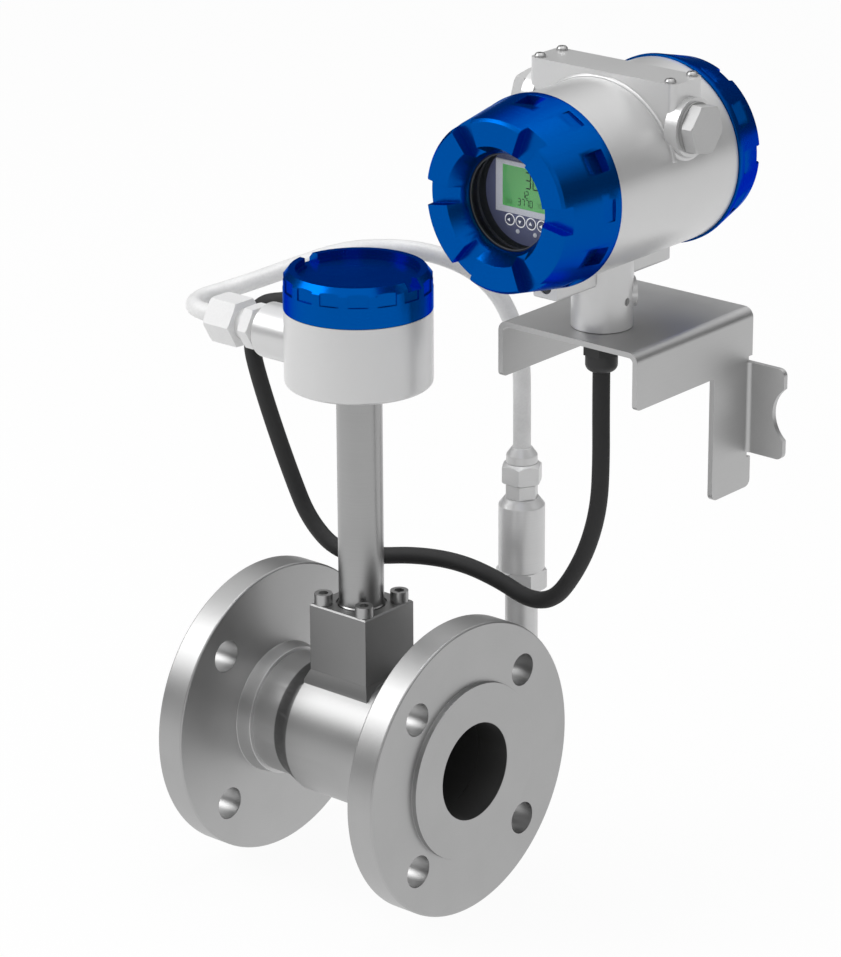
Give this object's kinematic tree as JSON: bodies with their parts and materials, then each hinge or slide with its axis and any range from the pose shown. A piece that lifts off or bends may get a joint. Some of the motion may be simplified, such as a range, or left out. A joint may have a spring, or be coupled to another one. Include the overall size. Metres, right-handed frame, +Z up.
{
  "type": "vortex flow meter",
  "caption": "Flanged vortex flow meter: welded tube with a shedder bar, stem, round junction box, pressure sensor and a bracket-mounted transmitter with display, joined by two cables.",
  "frame": {"origin": "centre of the inlet flange's raised face, on the bore axis", "axes": "+X along the flow, towards the outlet flange; +Z up along the stem; the display faces -Y"},
  "size_m": [0.3236, 0.2187, 0.4671],
  "materials": {
    "stainless": "satin",
    "sensor_steel": "turned",
    "bracket_steel": "brushed sheet",
    "screw_steel": "bright",
    "gland_metal": "nickel plated",
    "plug_metal": "machined",
    "housing_paint": "fine powder coat",
    "cover_paint": "glossy powder coat",
    "black_rubber": "matt",
    "black_plastic": "matt",
    "dark_sheath": "satin",
    "light_sheath": "satin",
    "terminal_plastic": "matt",
    "dial_plastic": "printed",
    "bezel_plastic": "matt",
    "display_panel": "lit",
    "key_plastic": "gloss",
    "board": "lacquered",
    "window_glass": "clear"
  },
  "bodies": {
    "meter": {"inlet_flange": "stainless", "outlet_flange": "stainless", "meter_tube": "stainless", "shedder_bar": "stainless", "bonnet_block": "stainless", "bonnet_screws": "screw_steel", "bonnet_gasket": "black_rubber", "piezo_probe": "stainless", "support_stem": "stainless", "junction_cup": "housing_paint", "terminal_strip": "terminal_plastic", "sensor_gland_body": "gland_metal", "sensor_gland_nut": "gland_metal", "signal_gland_body": "gland_metal", "signal_gland_nut": "gland_metal", "pressure_lead_cap": "sensor_steel", "pressure_gland_nut": "sensor_steel", "pressure_gland_body": "sensor_steel", "pressure_sensor_body": "sensor_steel", "pressure_sensor_hex": "sensor_steel", "siphon_pipe": "stainless", "mounting_bracket": "bracket_steel", "neck_bush": "stainless", "lead_gland_body": "black_plastic", "lead_gland_dome_nut": "black_plastic", "sensor_lead": "light_sheath", "signal_lead": "dark_sheath"},
    "transmitter": {"transmitter_housing": "housing_paint", "bridge_lid": "housing_paint", "bridge_lid_screws": "screw_steel", "neck_set_screw": "screw_steel", "plug_washer_left": "black_rubber", "plug_washer_right": "black_rubber", "blanking_plug_left": "plug_metal", "blanking_plug_right": "plug_metal", "circuit_board": "board", "display_module": "black_plastic", "display_plate": "dial_plastic", "display_bezel": "bezel_plastic", "display_glass": "display_panel", "rear_terminal_block": "terminal_plastic"},
    "front_cover_travel": {"front_cover_seal": "black_rubber"},
    "front_cover": {"front_cover": "cover_paint", "window_seal": "black_rubber", "window_glass": "window_glass", "window_retainer": "stainless"},
    "rear_cover_travel": {"rear_cover_seal": "black_rubber"},
    "rear_cover": {"rear_cover": "cover_paint"},
    "junction_cap_travel": {"junction_seal": "black_rubber"},
    "junction_cap": {"junction_cap": "cover_paint"},
    "key_1": {"key_1": "key_plastic"},
    "key_2": {"key_2": "key_plastic"},
    "key_3": {"key_3": "key_plastic"},
    "key_4": {"key_4": "key_plastic"}
  },
  "joints": [
    {"name": "transmitter_swivel", "type": "hinge", "parent": "meter", "child": "transmitter", "pos_m": [0.1965, 0.06, 0.3294], "axis": [0, 0, 1], "range_deg": [-170, 170]},
    {"name": "front_cover_travel", "type": "slide", "parent": "transmitter", "child": "front_cover_travel", "axis": [0, -1, 0], "range_m": [0, 0.012]},
    {"name": "front_cover_turn", "type": "hinge", "parent": "front_cover_travel", "child": "front_cover", "pos_m": [0.1965, 0, 0.3294], "axis": [0, -1, 0], "range_deg": [0, 2160]},
    {"name": "rear_cover_travel", "type": "slide", "parent": "transmitter", "child": "rear_cover_travel", "axis": [0, 1, 0], "range_m": [0, 0.012]},
    {"name": "rear_cover_turn", "type": "hinge", "parent": "rear_cover_travel", "child": "rear_cover", "pos_m": [0.1965, 0.12, 0.3294], "axis": [0, 1, 0], "range_deg": [0, 2160]},
    {"name": "junction_cap_travel", "type": "slide", "parent": "meter", "child": "junction_cap_travel", "axis": [0, 0, 1], "range_m": [0, 0.012]},
    {"name": "junction_cap_turn", "type": "hinge", "parent": "junction_cap_travel", "child": "junction_cap", "pos_m": [0.08, 0, 0.2502], "axis": [0, 0, 1], "range_deg": [0, 2160]},
    {"name": "key_1_press", "type": "slide", "parent": "transmitter", "child": "key_1", "axis": [0, 1, 0], "range_m": [0, 0.0008], "stiffness_N_per_m": 500, "springref_m": -0.001},
    {"name": "key_2_press", "type": "slide", "parent": "transmitter", "child": "key_2", "axis": [0, 1, 0], "range_m": [0, 0.0008], "stiffness_N_per_m": 500, "springref_m": -0.001},
    {"name": "key_3_press", "type": "slide", "parent": "transmitter", "child": "key_3", "axis": [0, 1, 0], "range_m": [0, 0.0008], "stiffness_N_per_m": 500, "springref_m": -0.001},
    {"name": "key_4_press", "type": "slide", "parent": "transmitter", "child": "key_4", "axis": [0, 1, 0], "range_m": [0, 0.0008], "stiffness_N_per_m": 500, "springref_m": -0.001}
  ],
  "couplings": [
    {"joint": "front_cover_travel", "follows": "front_cover_turn", "m_per_rad": 0.00031831},
    {"joint": "rear_cover_travel", "follows": "rear_cover_turn", "m_per_rad": 0.00031831},
    {"joint": "junction_cap_travel", "follows": "junction_cap_turn", "m_per_rad": 0.00031831}
  ]
}
